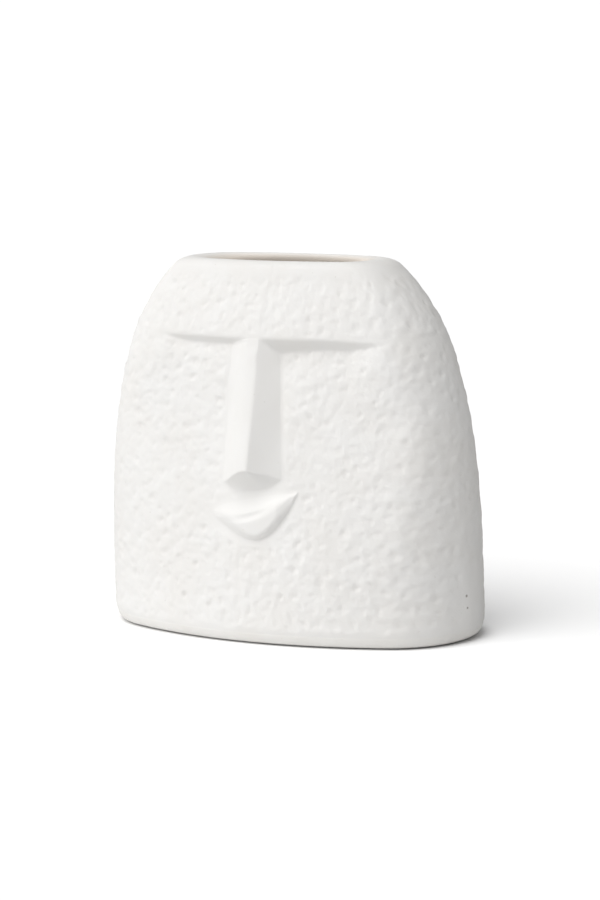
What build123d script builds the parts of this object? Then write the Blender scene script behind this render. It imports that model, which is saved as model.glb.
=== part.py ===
from build123d import *
import os
from math import cos, radians, sin, sqrt

# Face vase: a hollow oval dome of matt white bisque with a brow, a nose and two lips in relief.
# Millimetres. The origin is the middle of the foot on the table, the face looks towards -Y, +Z is up.

# Body
WIDTH = 170.0  # widest, just above the foot
DEPTH = 90.0  # front to back, just above the foot
HEIGHT = 155.0  # table to rim
DOME_SHARE = 1.113  # the height at which the dome would close, in rim heights
SIDE_POWER = 3.75  # how late the two ends of the dome turn inwards
FRONT_POWER = 1.8  # how late its front and back turn inwards
END_SHARE = 0.80  # radius of the rounded ends, in half depths
WALL = 6.5
RIM_ROUND = 2.5
SECTIONS = 12  # plan ovals between foot and rim
SECTION_CROWD = 1.4  # how much closer together they lie towards the rim

# Foot
SLAB = 5.0  # thickness of the floor, and height of the smooth band around the foot
FOOT_ROUND = 9.0  # rounding of the lower edge
FOOT_RING = 7.0  # width of the ring the vase stands on
FOOT_HOLLOW = 1.0  # depth of the hollow inside that ring

# Brow and cheeks: one almost flat, leaning face let into the front of the dome
BROW_Z = 124.6  # lower edge of the forehead
BROW_RECESS = 3.5  # how far the cheeks lie behind the forehead at that height
BROW_SLOPE = 1.4  # drop of the ledge under the brow for each millimetre inwards
CHEEK_RADIUS = 300.0  # sideways curve of the cheeks
CHEEK_TURN = 1.2  # degrees that they are turned, so the ledge is deeper towards +X
CHEEK_END_Z = 27.0  # height at which the cheeks run out into the dome

# Nose: a blunt wedge, flush with the forehead at its top
NOSE_X = 2.4  # sideways place of its lower end
NOSE_BASE_Z = 65.2  # lower end, against the cheek
NOSE_TIP_Z = 72.4  # lower end, at the tip
NOSE_REACH = 7.7  # tip in front of the cheek
RIDGE_HALF = 2.8  # half width of the flat ridge
NOSE_TOP_HALF = 10.0  # half width against the cheek, under the brow
NOSE_BASE_HALF = 13.2  # half width against the cheek, at the lower end
NOSE_ROUND = 2.0
NOSE_ROOT = 3.0  # how far the wedge reaches behind the cheek before it is trimmed

# Mouth: a half disc, cut by the mouth line into two lips
MOUTH_X = 4.3
MOUTH_Z = 59.6  # middle of its straight upper edge
MOUTH_WIDTH = 41.0
MOUTH_TILT = 11.8  # degrees that it rises towards +X
MOUTH_DROP = 16.6  # upper edge to the lowest point
LINE_DROP = 6.6  # upper edge to the mouth line, at the middle
LINE_END_DROP = 5.2  # upper edge to the mouth line, at its end towards -X
LIP_RELIEF = 3.2
LIP_EDGE = 0.5  # thickness left along the upper edge
LIP_ROLL = 20.0  # radius of the lower lip's round front

# Glaze inside, which makes the porous body hold water
GLAZE = 0.5
GLAZE_TOP = 6.0  # its edge, below the rim

FAR = 2 * WIDTH  # longer than anything it has to cut through


def half_width(z):
    return WIDTH / 2 * sqrt(1 - (z / (DOME_SHARE * HEIGHT)) ** SIDE_POWER)


def half_depth(z):
    return DEPTH / 2 * sqrt(1 - (z / (DOME_SHARE * HEIGHT)) ** FRONT_POWER)


def lean(size, z):
    """How far the wall comes inwards for each millimetre of height."""
    return size(z - 0.5) - size(z + 0.5)


def oval(a, b, z):
    """Plan oval of four tangent arcs: half width a, half depth b."""
    r = END_SHARE * b
    big = (a * a + b * b - 2 * a * r) / (2 * (b - r))
    x = big * (a - r) / (big - r)
    y = b - big + big * (big - b) / (big - r)
    corners = [(x, -y, z), (x, y, z), (-x, y, z), (-x, -y, z)]
    middles = [(a, 0, z), (0, b, z), (-a, 0, z), (0, -b, z)]
    arcs = []
    for i in range(4):
        arcs.append(ThreePointArc(corners[i], middles[i], corners[(i + 1) % 4]))
    return Face(Wire(arcs))


def dome(inset, low, high):
    """The dome from one height to another, its surface moved inwards by the inset."""
    faces = []
    for i in range(SECTIONS + 1):
        z = low + (high - low) * (1 - (1 - i / SECTIONS) ** SECTION_CROWD)
        a = half_width(z) - inset * sqrt(1 + lean(half_width, max(z, 1)) ** 2)
        b = half_depth(z) - inset * sqrt(1 + lean(half_depth, max(z, 1)) ** 2)
        faces.append(oval(a, b, z))
    return loft(faces)


# The space in front of the cheeks and under the brow.
brow_y = -half_depth(BROW_Z)
cheek_lean = (half_depth(CHEEK_END_Z) + brow_y + BROW_RECESS) / (BROW_Z - CHEEK_END_Z)


def cheek_y(z):
    """Middle of the cheeks at a height."""
    return brow_y + BROW_RECESS - cheek_lean * (BROW_Z - z)


def face_space(shift):
    """Everything in front of the cheeks and under the brow's ledge, moved back by the shift."""
    y = cheek_y(BROW_Z) + shift
    turned = y + CHEEK_RADIUS - sqrt(CHEEK_RADIUS**2 - WIDTH**2)
    left, middle, right = (-WIDTH, turned, BROW_Z), (0, y, BROW_Z), (WIDTH, turned, BROW_Z)
    around = Polyline(right, (WIDTH, -FAR, BROW_Z), (-WIDTH, -FAR, BROW_Z), left)
    plan = Face(Wire([ThreePointArc(left, middle, right), *around.edges()]))
    plan = Rot(0, 0, CHEEK_TURN) * plan
    fall = BROW_Z - SLAB - FOOT_ROUND / 2
    cheeks = Solid.extrude(plan, Vector(0, -cheek_lean * fall, -fall))
    brow = Pos(0, shift, 0) * oval(half_width(BROW_Z), half_depth(BROW_Z), BROW_Z)
    ledge = Solid.extrude(brow, Vector(0, 3 * BROW_RECESS, -3 * BROW_RECESS * BROW_SLOPE))
    return cheeks - ledge


in_front = face_space(0)

# Outer form, hollow form and the form inside the glaze.
outer = dome(0, 0, HEIGHT)
outer = fillet(outer.faces().sort_by(Axis.Z)[0].edges(), FOOT_ROUND)
outer -= in_front
hollow = dome(WALL, SLAB, HEIGHT + 1) - face_space(WALL)
inside = dome(WALL + GLAZE, SLAB + GLAZE, HEIGHT + 1) - face_space(WALL + GLAZE)

# Wall and floor, parted at the line above the smooth foot band.
above_slab = Pos(0, 0, SLAB + FAR / 2) * Box(FAR, FAR, FAR)
body_wall = (outer & above_slab) - hollow
rim_edges = body_wall.edges().filter_by_position(Axis.Z, HEIGHT - 0.01, HEIGHT + 0.01)
body_wall = fillet(rim_edges, RIM_ROUND)

ring_inset = FOOT_ROUND + FOOT_RING
foot_hollow = Solid.extrude(
    oval(half_width(0) - ring_inset, half_depth(0) - ring_inset, 0), Vector(0, 0, FOOT_HOLLOW)
)
base_slab = outer - above_slab - foot_hollow

# Glaze: a thin skin against the hollow form, open at the top.
below_edge = Pos(0, 0, HEIGHT - GLAZE_TOP - FAR / 2) * Box(FAR, FAR, FAR)
inner_glaze = (hollow - inside) & below_edge

# Nose: a wedge between two four-cornered ends, trimmed by the cheeks and the ledge behind it.


def nose_end(x, ridge_y, ridge_z, base_half, base_y, base_z):
    """One end of the wedge: ridge in front, widening to the cheek and on behind it."""
    grow = (base_y + NOSE_ROOT - ridge_y) / (base_y - ridge_y)
    back_half = RIDGE_HALF + (base_half - RIDGE_HALF) * grow
    back_z = ridge_z + (base_z - ridge_z) * grow
    corners = Polyline(
        (x - RIDGE_HALF, ridge_y, ridge_z),
        (x + RIDGE_HALF, ridge_y, ridge_z),
        (x + back_half, base_y + NOSE_ROOT, back_z),
        (x - back_half, base_y + NOSE_ROOT, back_z),
        close=True,
    )
    return Face(Wire(corners.edges()))


low_y = cheek_y(NOSE_BASE_Z)
top_end = nose_end(0, brow_y, BROW_Z, NOSE_TOP_HALF, brow_y + BROW_RECESS, BROW_Z)
low_end = nose_end(NOSE_X, low_y - NOSE_REACH, NOSE_TIP_Z, NOSE_BASE_HALF, low_y, NOSE_BASE_Z)
wedge = loft([top_end, low_end], ruled=True)
ridge_edges = wedge.edges().sort_by(SortBy.LENGTH)[-4:].sort_by(Axis.Y)[:2]
tip_edge = wedge.edges().sort_by(Axis.Y)[0]
wedge = fillet([*ridge_edges, tip_edge], NOSE_ROUND)
nose = wedge & in_front

# Lips: two prisms of the mouth's outline, each with its own front, trimmed by the cheeks.
up = Vector(0, cheek_lean, 1).normalized()
right = Vector(cos(radians(MOUTH_TILT)), 0, 0) + up * sin(radians(MOUTH_TILT))
ahead = Vector(0, -1, cheek_lean).normalized()
mouth = Plane(origin=(MOUTH_X, cheek_y(MOUTH_Z), MOUTH_Z), x_dir=right, z_dir=ahead)
end = MOUTH_WIDTH / 2
border = (end**2 + MOUTH_DROP**2) / (2 * MOUTH_DROP)  # radius of the half disc's lower border


def border_x(v):
    """Half the mouth's width at a place below its upper edge."""
    return sqrt(border**2 - (border - MOUTH_DROP - v) ** 2)


def lip_prism(*edges):
    return Pos(0, 0, -LIP_RELIEF) * Solid.extrude(Face(Wire(edges)), Vector(0, 0, 3 * LIP_RELIEF))


line_end = (-border_x(-LINE_END_DROP), -LINE_END_DROP)
half_end = (-border_x(-LINE_END_DROP / 2), -LINE_END_DROP / 2)
top_edge = Line((end, 0), (-end, 0))
corner_arc = ThreePointArc((-end, 0), half_end, line_end)
mouth_line = ThreePointArc(line_end, (0, -LINE_DROP), (end, 0))
chin_arc = ThreePointArc((end, 0), (0, -MOUTH_DROP), line_end)

slant = Plane(origin=(0, 0, LIP_EDGE), x_dir=(1, 0, 0), z_dir=(0, LIP_RELIEF - LIP_EDGE, LINE_DROP))
off_front = slant * Pos(0, 0, FAR / 2) * Box(FAR, FAR, FAR)
upper_lip = mouth * (lip_prism(top_edge, corner_arc, mouth_line) - off_front) & in_front

crown = (LINE_DROP + MOUTH_DROP) / 2
roll = Pos(0, -crown, LIP_RELIEF - LIP_ROLL) * Rot(0, 90, 0) * Cylinder(LIP_ROLL, FAR)
lower_lip = mouth * (lip_prism(mouth_line, chin_arc) & roll) & in_front

os.makedirs("parts", exist_ok=True)
pieces = {
    "body_wall": body_wall,
    "base_slab": base_slab,
    "inner_glaze": inner_glaze,
    "nose": nose,
    "upper_lip": upper_lip,
    "lower_lip": lower_lip,
}
for name, piece in pieces.items():
    export_step(piece, f"parts/{name}.step")
    print(name, len(piece.solids()), round(piece.volume), piece.bounding_box().size)
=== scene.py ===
# %% [markdown]
# # A face vase in pitted white bisque
#
# The vase is a hollow, flattened dome of fired clay. Its front carries a brow, a nose and a tilted
# mouth in low relief, its top is an oval opening for stems, and most of its skin is covered with
# shallow pits. This lesson loads the measured solids first, then dresses each of them with a finer
# surface in the same place, and then sets up the light and the camera of a plain product picture.

# %% Load the solids
from math import atan2, cos, pi, radians, sin, tan

import bpy
import numpy as np
from mathutils import Matrix, Vector


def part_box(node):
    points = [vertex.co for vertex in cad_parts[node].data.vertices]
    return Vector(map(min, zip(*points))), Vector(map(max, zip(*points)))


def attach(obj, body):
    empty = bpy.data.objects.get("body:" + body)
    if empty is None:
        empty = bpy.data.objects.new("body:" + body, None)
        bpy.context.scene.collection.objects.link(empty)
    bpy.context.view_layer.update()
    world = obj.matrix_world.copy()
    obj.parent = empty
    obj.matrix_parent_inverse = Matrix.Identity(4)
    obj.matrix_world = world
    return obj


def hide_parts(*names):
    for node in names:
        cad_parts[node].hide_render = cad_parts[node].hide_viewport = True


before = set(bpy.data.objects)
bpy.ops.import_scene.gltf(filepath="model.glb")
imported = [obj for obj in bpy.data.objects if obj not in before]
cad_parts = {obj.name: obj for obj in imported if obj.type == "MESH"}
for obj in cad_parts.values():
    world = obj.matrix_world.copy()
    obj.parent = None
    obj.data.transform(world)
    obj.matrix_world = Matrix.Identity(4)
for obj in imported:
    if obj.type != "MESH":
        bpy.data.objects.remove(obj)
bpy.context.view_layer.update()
MM = 0.001  # the lesson counts in millimetres, Blender in metres
for node in sorted(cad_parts):
    low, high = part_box(node)
    print(node, [round((h - l) / MM, 1) for l, h in zip(low, high)], "mm")

# %% [markdown]
# ## The form
#
# The body is a rule rather than a drawing. At every height its plan is an oval of four arcs, and
# the oval's half width and half depth shrink towards the top by two power laws: the ends stay wide
# for long and then turn in quickly, the front and back come in slowly. Writing the rule once lets
# the wall, the glaze and the relief all sit on the same surface.

# %% The dome's rule
WIDTH, DEPTH, HEIGHT = 170.0, 90.0, 155.0
DOME_TOP = 1.113 * HEIGHT  # where the dome would close
SIDE_POWER, FRONT_POWER = 3.75, 1.8  # how late the ends, and the front and back, turn inwards
END_SHARE = 0.80  # radius of the rounded ends, in half depths


def half_width(z):
    return WIDTH / 2 * np.sqrt(1 - (z / DOME_TOP) ** SIDE_POWER)


def half_depth(z):
    return DEPTH / 2 * np.sqrt(1 - (z / DOME_TOP) ** FRONT_POWER)


def oval(z, inset=0.0):
    """Half width, half depth, end radius and long radius of the plan oval at height z."""
    z = np.asarray(z, float)
    at = np.maximum(z, 1.0)  # the lowest place at which the lean is taken
    sides = []
    for size in (half_width, half_depth):
        lean = size(at - 0.5) - size(at + 0.5)  # how far this side comes inwards over a millimetre
        sides.append(size(z) - inset * np.sqrt(1 + lean**2))
    a, b = sides
    r = END_SHARE * b
    return a, b, r, (a * a + b * b - 2 * a * r) / (2 * (b - r))


def front_of_dome(x, z):
    """How far in front (-Y) the plain dome lies at a place across and a height."""
    a, b, r, big = oval(z)
    x = np.abs(x)
    on_end = x > big * (a - r) / (big - r)
    end = np.sqrt(np.maximum(r * r - (x - a + r) ** 2, 0))
    long = b - big + np.sqrt(np.maximum(big * big - x * x, 0))
    return -np.where(on_end, end, long)


print("rim", [round(float(v), 1) for v in oval(HEIGHT)[:2]], "mm half width and half depth")

# %% [markdown]
# ## Brow and cheeks
#
# The face is let into the dome: an almost flat plane leans back from the chin to the brow, and a
# short sloping ledge joins it to the forehead. The face was pressed in by hand, so the ledge is
# deeper to the right of the nose than to the left, its edge drops a little at the right end, and a
# shallow hollow lies beside the nose. On clay such edges are never sharp, so the surfaces are
# joined with soft maximum and minimum functions. From here on a pair of places among the values is
# a smooth ramp: it gives 0 at the first place and 1 at the second.

# %% Ramps and soft joints
def step(low, high, value):
    """A smooth ramp from 0 to 1 between two values, given in either order."""
    t = np.clip((value - low) / (high - low), 0, 1)
    return t * t * (3 - 2 * t)


def soft_max(p, q, k):
    """The larger value, rounded where the two are closer than k."""
    h = np.maximum(k - np.abs(p - q), 0) / k
    return np.maximum(p, q) + h * h * k / 4


def soft_min(p, q, k):
    return -soft_max(-p, -q, k)


# %% The face's rule
BROW_Z, BROW_SLOPE, BROW_RECESS = 124.6, 1.4, 3.5
BROW_LEFT, BROW_RIGHT = (62.0, 27.0), (66.0, 36.0)  # across, from the ledge's two ends inwards
BROW_DROP, BROW_DROPS = 1.8, (30.0, BROW_RIGHT[0])  # the edge drops towards the right end
RECESS_LEFT, RECESS_RIGHT = 2.8, 4.15  # depth of the ledge on either side of the nose
RECESS_NOSE, BESIDE_NOSE = 1.7, (36.0, 8.0)  # how much deeper it grows towards the nose, on the right
LEFT_TO_RIGHT = (-6.0, 8.0)  # across, where the left depth turns into the right one
BROW_OUT = 1.2  # how far the cheeks come forward of the dome beyond the ends, so that no step is left
EYE_HOLLOW, EYE_X, EYE_HALF = 0.7, 12.0, 5.5  # the shallow hollow: depth, place across, half width
EYE_TOP, EYE_LOW = (121.0, 112.0), (68.0, 90.0)  # heights over which it deepens
CHEEK_RADIUS, CHEEK_TURN, CHEEK_END_Z = 300.0, radians(1.2), 27.0
UNDER_BROW = (88.0, 122.0)  # heights over which the flat cheek takes on the dome's curve
CHEEK_BLEND, BROW_BLEND = 3.0, 0.9  # how broadly the cheeks run into the dome, low down and at the brow
BLEND_Z = (118.0, 100.0)  # heights over which the narrow blend grows broad
LEDGE_BLEND = 0.7  # rounding between the cheeks and the ledge
BROW_Y = -float(half_depth(BROW_Z))
CHEEK_LEAN = (float(half_depth(CHEEK_END_Z)) + BROW_Y + BROW_RECESS) / (BROW_Z - CHEEK_END_Z)


def cheek_middle(z):
    return BROW_Y + BROW_RECESS - CHEEK_LEAN * (BROW_Z - z)


def cheek(x, z):
    """The leaning plane, which follows the dome's curve more and more towards the brow."""
    flat = cheek_middle(z) + x * tan(CHEEK_TURN) + CHEEK_RADIUS - np.sqrt(CHEEK_RADIUS**2 - x * x)
    left = (RECESS_LEFT + BROW_OUT) * step(*BROW_LEFT, -x) - BROW_OUT
    right = RECESS_RIGHT + RECESS_NOSE * step(*BESIDE_NOSE, x)
    right = (right + BROW_OUT) * step(*BROW_RIGHT, x) - BROW_OUT
    under_brow = front_of_dome(x, z) + left + (right - left) * step(*LEFT_TO_RIGHT, x)
    hollow = EYE_HOLLOW * np.exp(-(((x - EYE_X) / EYE_HALF) ** 2))
    hollow = hollow * step(*EYE_TOP, z) * step(*EYE_LOW, z)
    return flat + (under_brow - flat) * step(*UNDER_BROW, z) + hollow


def ledge(x, z):
    edge = BROW_Z - BROW_DROP * step(*BROW_DROPS, x)
    return front_of_dome(x, edge) + (edge - z) / BROW_SLOPE


def face(x, z, dome_y, shift=0.0):
    """The front surface: the dome with the cheeks and the brow's ledge let into it."""
    blend = BROW_BLEND + (CHEEK_BLEND - BROW_BLEND) * step(*BLEND_Z, z)
    return soft_max(dome_y, soft_min(cheek(x, z), ledge(x, z), LEDGE_BLEND) + shift, blend)


def face_front(x, z):
    return face(x, z, front_of_dome(x, z))


print("the cheeks lean", round(CHEEK_LEAN, 3), "mm back for each mm up")

# %% [markdown]
# ## Nose
#
# The nose is a blunt wedge: a flat ridge that runs down from the forehead, two flanks and an
# underside cut off at a slant. It is written as a height over the cheek, so that the wall can begin
# to rise where the wedge is pressed on and the joint shows no seam. The left flank is stroked softly
# into the cheek and the right one meets it in a crease.

# %% The nose's rule
NOSE_X, NOSE_TIP_Z, NOSE_REACH = 2.4, 71.6, 7.7
REACH_Z = 65.2  # height of the cheek from which the reach is measured
NOSE_BASE_X, NOSE_BASE_Z, NOSE_BASE_CURVE = 0.8, 63.3, 0.0205  # the underside's curved lower edge
BASE_FLATTER = 15.0  # on the right that edge is flatter, up to this distance
RIDGE_HALF, NOSE_TOP_HALF, NOSE_BASE_HALF = 2.8, 10.0, 13.2
RIDGE_SLANT = 1.5  # how far the ridge's right edge runs to the left on its way down
WIDENS_TO, SLANTS_TO = 1.2, 1.1  # where the widening and the slant end, in shares of the way to the tip
LEFT_ROUND, RIGHT_ROUND = 0.5, 0.1  # rounding of the ridge's edges, in shares of the rise
FLANK_HOLLOW, FLANK_HOLLOW_Z = 0.35, (100.0, 75.0)  # the right flank grows hollow on its way down
NEAR_TOP, TOP_WIDER, TOP_HIGHER = (112.0, 123.0), 1.0, 0.16  # so that the top meets the forehead
UNDER_LEFT, UNDER_RIGHT = 0.98, 0.5  # how far the underside comes forward for each millimetre upwards
UNDER_X, UNDER_ROUND = (3.5, 14.0), 0.3
TIP_Y = cheek_middle(REACH_Z) - NOSE_REACH


def down_nose(z):
    """0 at the brow and 1 at the tip."""
    return (BROW_Z - z) / (BROW_Z - NOSE_TIP_Z)


def nose_middle(z):
    return NOSE_X * np.clip(down_nose(z), 0, WIDENS_TO)


def nose_half(z):
    return NOSE_TOP_HALF + (NOSE_BASE_HALF - NOSE_TOP_HALF) * np.clip(down_nose(z), 0, WIDENS_TO)


def nose_rise(x, z):
    """How far the wedge stands in front of the cheek; negative outside its outline."""
    share, near_top = down_nose(z), step(*NEAR_TOP, z)
    ridge_y = BROW_Y + (TIP_Y - BROW_Y) * share
    across, half = x - nose_middle(z), nose_half(z)
    flank = half - RIDGE_HALF + TOP_WIDER * near_top
    left = (half + across) / flank
    right = (half - across) / (flank + RIDGE_SLANT * np.clip(share, 0, SLANTS_TO))
    right = right * (1 - FLANK_HOLLOW * step(*FLANK_HOLLOW_Z, z) * np.clip(1 - right, 0, 1))
    left, right = soft_min(left, 1.0, LEFT_ROUND), soft_min(right, 1.0, RIGHT_ROUND)
    rise = (cheek(x, z) - ridge_y) * soft_min(left, right, RIGHT_ROUND)
    rise = rise * (1 + TOP_HIGHER * near_top)
    aside = x - NOSE_BASE_X
    curve = np.where(aside > 0, NOSE_BASE_CURVE * aside / BASE_FLATTER, NOSE_BASE_CURVE)
    low = NOSE_BASE_Z + curve * aside**2
    under = (UNDER_LEFT + (UNDER_RIGHT - UNDER_LEFT) * step(*UNDER_X, x)) * (z - low)
    return soft_min(rise, under, UNDER_ROUND)


# %% The nose's joint
FLUSH_Z = (117.0, 122.0)  # heights over which the wedge is kept behind the forehead
JOINT, LEFT_JOINT = 0.5, 1.5  # breadth of the joint's rounding, and how much more it has on the left
LEFT_SIDE, LEFT_JOINT_Z = (0.0, -6.0), (120.0, 105.0)
TOP_JOINT_Z, TOP_JOINT_DEPTH = (112.0, 119.0), (0.1, 1.0)  # broader under the brow's deep ledge


def nose_over_face(x, z):
    """How far the nose stands in front of the wall, with its rounded joint; never negative."""
    dome_y, wall_y = front_of_dome(x, z), face_front(x, z)
    wedge_y = cheek(x, z) - nose_rise(x, z)
    wedge_y = wedge_y + step(*FLUSH_Z, z) * np.maximum(dome_y - wedge_y, 0)
    joint = JOINT + LEFT_JOINT * step(*LEFT_SIDE, x - nose_middle(z)) * step(*LEFT_JOINT_Z, z)
    joint = joint + step(*TOP_JOINT_Z, z) * step(*TOP_JOINT_DEPTH, wall_y - dome_y)
    return wall_y - soft_min(wall_y, wedge_y, joint)


tip_rise = nose_over_face(np.float64(NOSE_X), NOSE_TIP_Z + 1)
print("nose tip", round(float(tip_rise), 1), "mm in front of the cheek")

# %% [markdown]
# ## Mouth
#
# The mouth is a tilted half moon: straight above, round below. The upper lip is a bevel that grows
# out of the cheek and catches the light, the lower lip is a pad with a rounded border, and a short
# groove lies between them. Towards the left end everything fades into the cheek. Both lips are cut
# from this one height, so they meet exactly along the mouth line.

# %% The mouth's outline
MOUTH_X, MOUTH_Z, MOUTH_TILT = 4.3, 59.6, radians(11.8)
MOUTH_LEFT, MOUTH_RIGHT = -21.0, 20.3  # ends of the upper edge, from its middle
MOUTH_DROP, BORDER_X, BORDER_CURVE = 16.9, -1.5, 0.0355  # the round border below
LINE_DROP, LINE_X, LINE_CURVE = 6.6, -5.0, 0.0112  # the line between the lips


def in_mouth(x, z):
    """Place in the mouth's own tilted frame: u along its upper edge, v upwards."""
    dx, dz = x - MOUTH_X, z - MOUTH_Z
    u = dx * cos(MOUTH_TILT) + dz * sin(MOUTH_TILT)
    return u, dz * cos(MOUTH_TILT) - dx * sin(MOUTH_TILT)


def border_v(u):
    return -MOUTH_DROP + BORDER_CURVE * (u - BORDER_X) ** 2


def line_v(u):
    return np.minimum(-LINE_DROP + LINE_CURVE * (u - LINE_X) ** 2, 0)


def inside_border(u, v):
    """Distance from the round border, positive inside."""
    return (v - border_v(u)) / np.sqrt(1 + (2 * BORDER_CURVE * (u - BORDER_X)) ** 2)


# %% The lips' rule
BEVEL_RELIEF, BEVEL_REACH, BEVEL_ROUND = 3.1, 1.05, 0.4  # reach in depths of the upper lip
BEVEL_LEAST, BEVEL_FULL = 1.5, 4.0  # least depth of that lip, and the depth that has the full relief
LEFT_FADE = (MOUTH_LEFT - 2, MOUTH_LEFT + 8)  # the bevel fades out at the left end
BORDER_RELIEF, BORDER_REACH, PAD_RELIEF, PAD_REACH = 3.7, 5.0, 0.6, 11.0
SOFT_LEFT, SOFT_LEFT_U = 2.0, (0.0, -15.0)  # the border is softer towards both ends
SOFT_RIGHT, SOFT_RIGHT_U = 0.15, (2.0, 12.0)
LOW_LEFT, LOW_LEFT_U = 0.45, (-5.0, -19.0)  # and lower towards the left one
CROWN_ROUND, LOWER_FALL = 0.8, 0.10  # rounding from bevel to pad, and how steeply the pad falls away
GROOVE, GROOVE_X, GROOVE_LONG, GROOVE_HALF = 0.75, -2.5, 7.5, 2.1


def swell(share):
    """A rounded rise from 0 to 1, falling steeply below 0 outside the outline."""
    return np.where(share > 0, 1 - np.maximum(1 - share, 0) ** 2, 2 * share)


def mouth_rise(u, v):
    """How far the lips stand in front of the cheek; negative outside the half moon."""
    depth = np.maximum(-line_v(u), BEVEL_LEAST)
    bevel = soft_min(soft_max(-v / (BEVEL_REACH * depth), 0.0, BEVEL_ROUND), 1.0, BEVEL_ROUND)
    bevel = BEVEL_RELIEF * np.minimum(depth / BEVEL_FULL, 1) * bevel
    inwards = inside_border(u, v)
    soft = 1 + SOFT_LEFT * step(*SOFT_LEFT_U, u) + SOFT_RIGHT * step(*SOFT_RIGHT_U, u)
    pad = BORDER_RELIEF * (1 - LOW_LEFT * step(*LOW_LEFT_U, u)) * swell(inwards / (BORDER_REACH * soft))
    pad = pad + PAD_RELIEF * swell(inwards / PAD_REACH)
    below = line_v(u) - v
    groove = GROOVE * np.exp(-(((u - GROOVE_X) / GROOVE_LONG) ** 2))
    groove = groove * step(GROOVE_HALF, 0, np.abs(below))
    crown = soft_min(bevel * step(*LEFT_FADE, u), pad, CROWN_ROUND)
    return crown - LOWER_FALL * np.maximum(below, 0) - groove


def mouth_over_face(x, z):
    return np.maximum(mouth_rise(*in_mouth(x, z)), 0)


along = np.linspace(MOUTH_LEFT, MOUTH_RIGHT, 20)
print("lips", round(float(mouth_rise(along, line_v(along)).max()), 1), "mm in front of the cheek")

# %% [markdown]
# ## From numbers to meshes
#
# Every piece here is a closed skin. Pots are stacks of loops, one for each height, so one helper
# joins loops into quads. Relief is a front sheet and a back sheet, joined by a strip of quads around
# their edges. The sign of the enclosed volume shows whether the faces point outwards.

# %% Closed skins
SHARP, WALL_SHARP = 60, 70  # degrees from which a corner is shown sharp


def skin(name, points, quads, sharp=SHARP):
    """A closed mesh object from points in millimetres, smooth except at sharp corners."""
    points = np.asarray(points, float) * MM
    quads = np.asarray(quads)
    p = points[quads]
    volume = 0.0
    for i in range(1, quads.shape[1] - 1):
        volume += np.einsum("ij,ij->i", p[:, 0], np.cross(p[:, i], p[:, i + 1])).sum() / 6
    if volume < 0:
        quads = quads[:, ::-1]
    mesh = bpy.data.meshes.new(name)
    mesh.from_pydata(points.tolist(), [], quads.tolist())
    mesh.validate()
    mesh.shade_smooth()
    mesh.set_sharp_from_angle(angle=radians(sharp))
    piece = bpy.data.objects.new(name, mesh)
    bpy.context.scene.collection.objects.link(piece)
    print(name, len(mesh.polygons), "faces,", round(abs(volume) * 1e6, 2), "cm3")
    return piece


# %% Stacks and sheets
def loop_quads(rows, columns, ring):
    """Quads between loops of points; with ring the last loop joins the first one again."""
    i, j = np.meshgrid(np.arange(rows if ring else rows - 1), np.arange(columns), indexing="ij")
    up, right = (i + 1) % rows, (j + 1) % columns
    corners = (i * columns + j, i * columns + right, up * columns + right, up * columns + j)
    return np.stack([c.ravel() for c in corners], axis=1)


def stack(name, loops, ring=False, sharp=SHARP):
    """Joins loops into quads; an open stack is closed only if its end loops are already shrunk onto
    their middle.
    """
    loops = np.asarray(loops)
    rows, columns = loops.shape[:2]
    return skin(name, loops.reshape(-1, 3), loop_quads(rows, columns, ring), sharp)


def sheet(name, front, back):
    """A closed relief from two grids of points that share their outline's order."""
    rows, columns = front.shape[:2]
    count = rows * columns
    number = np.arange(count).reshape(rows, columns)
    cell = [number[:-1, :-1], number[:-1, 1:], number[1:, 1:], number[1:, :-1]]
    quads = np.stack([c.ravel() for c in cell], axis=1)
    edge = np.concatenate([number[0, :-1], number[:-1, -1], number[-1, :0:-1], number[:0:-1, 0]])
    after = np.roll(edge, -1)
    rim = np.stack([after, edge, edge + count, after + count], axis=1)
    points = np.concatenate([front.reshape(-1, 3), back.reshape(-1, 3)])
    return skin(name, points, np.concatenate([quads, quads[:, ::-1] + count, rim]))


# %% [markdown]
# ## Around the oval
#
# The wall's columns are spread by arc: each keeps its share of its arc at every height, so none of
# them crosses the joint between an end and a long side. The front has the most columns because the
# face and the pits need them, and the back has fewer. Where the nose and the lips are pressed on,
# the wall itself rises a little. The ground lies a little inside the full size, except along the
# seams, on the shoulders and at the rim, so that pits and waves can rise and fall around it.

# %% Columns
FRONT_COLUMNS, BACK_COLUMNS = (86, 38), (56, 28)  # for half a long side, for half an end
PLAIN_COLUMNS = (30, 14)


def columns_around(front, back):
    """For every column: side across, side in depth, whether it is on an end, share of its arc."""
    found = []
    for side_x, side_y, outwards in ((1, 1, True), (-1, 1, False), (-1, -1, True), (1, -1, False)):
        long, end = back if side_y > 0 else front
        arcs = [(True, np.arange(end) / end), (False, np.arange(long) / long)]
        if not outwards:
            arcs = [(kind, 1 - share) for kind, share in arcs[::-1]]
        for on_end, share in arcs:
            found += [(side_x, side_y, on_end, s) for s in share]
    return [np.array(values) for values in zip(*found)]


fine = columns_around(FRONT_COLUMNS, BACK_COLUMNS)
plain = columns_around(PLAIN_COLUMNS, PLAIN_COLUMNS)
print(len(fine[0]), "columns around the wall,", len(plain[0]), "around the plain pieces")

# %% Loops
JOINT_RISE = 0.8  # how far the wall rises under the nose and the lips


def begin(rise):
    """The part of a rise that the wall itself carries, at the joint of an applied piece."""
    return JOINT_RISE * np.tanh(rise / JOINT_RISE)


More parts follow.
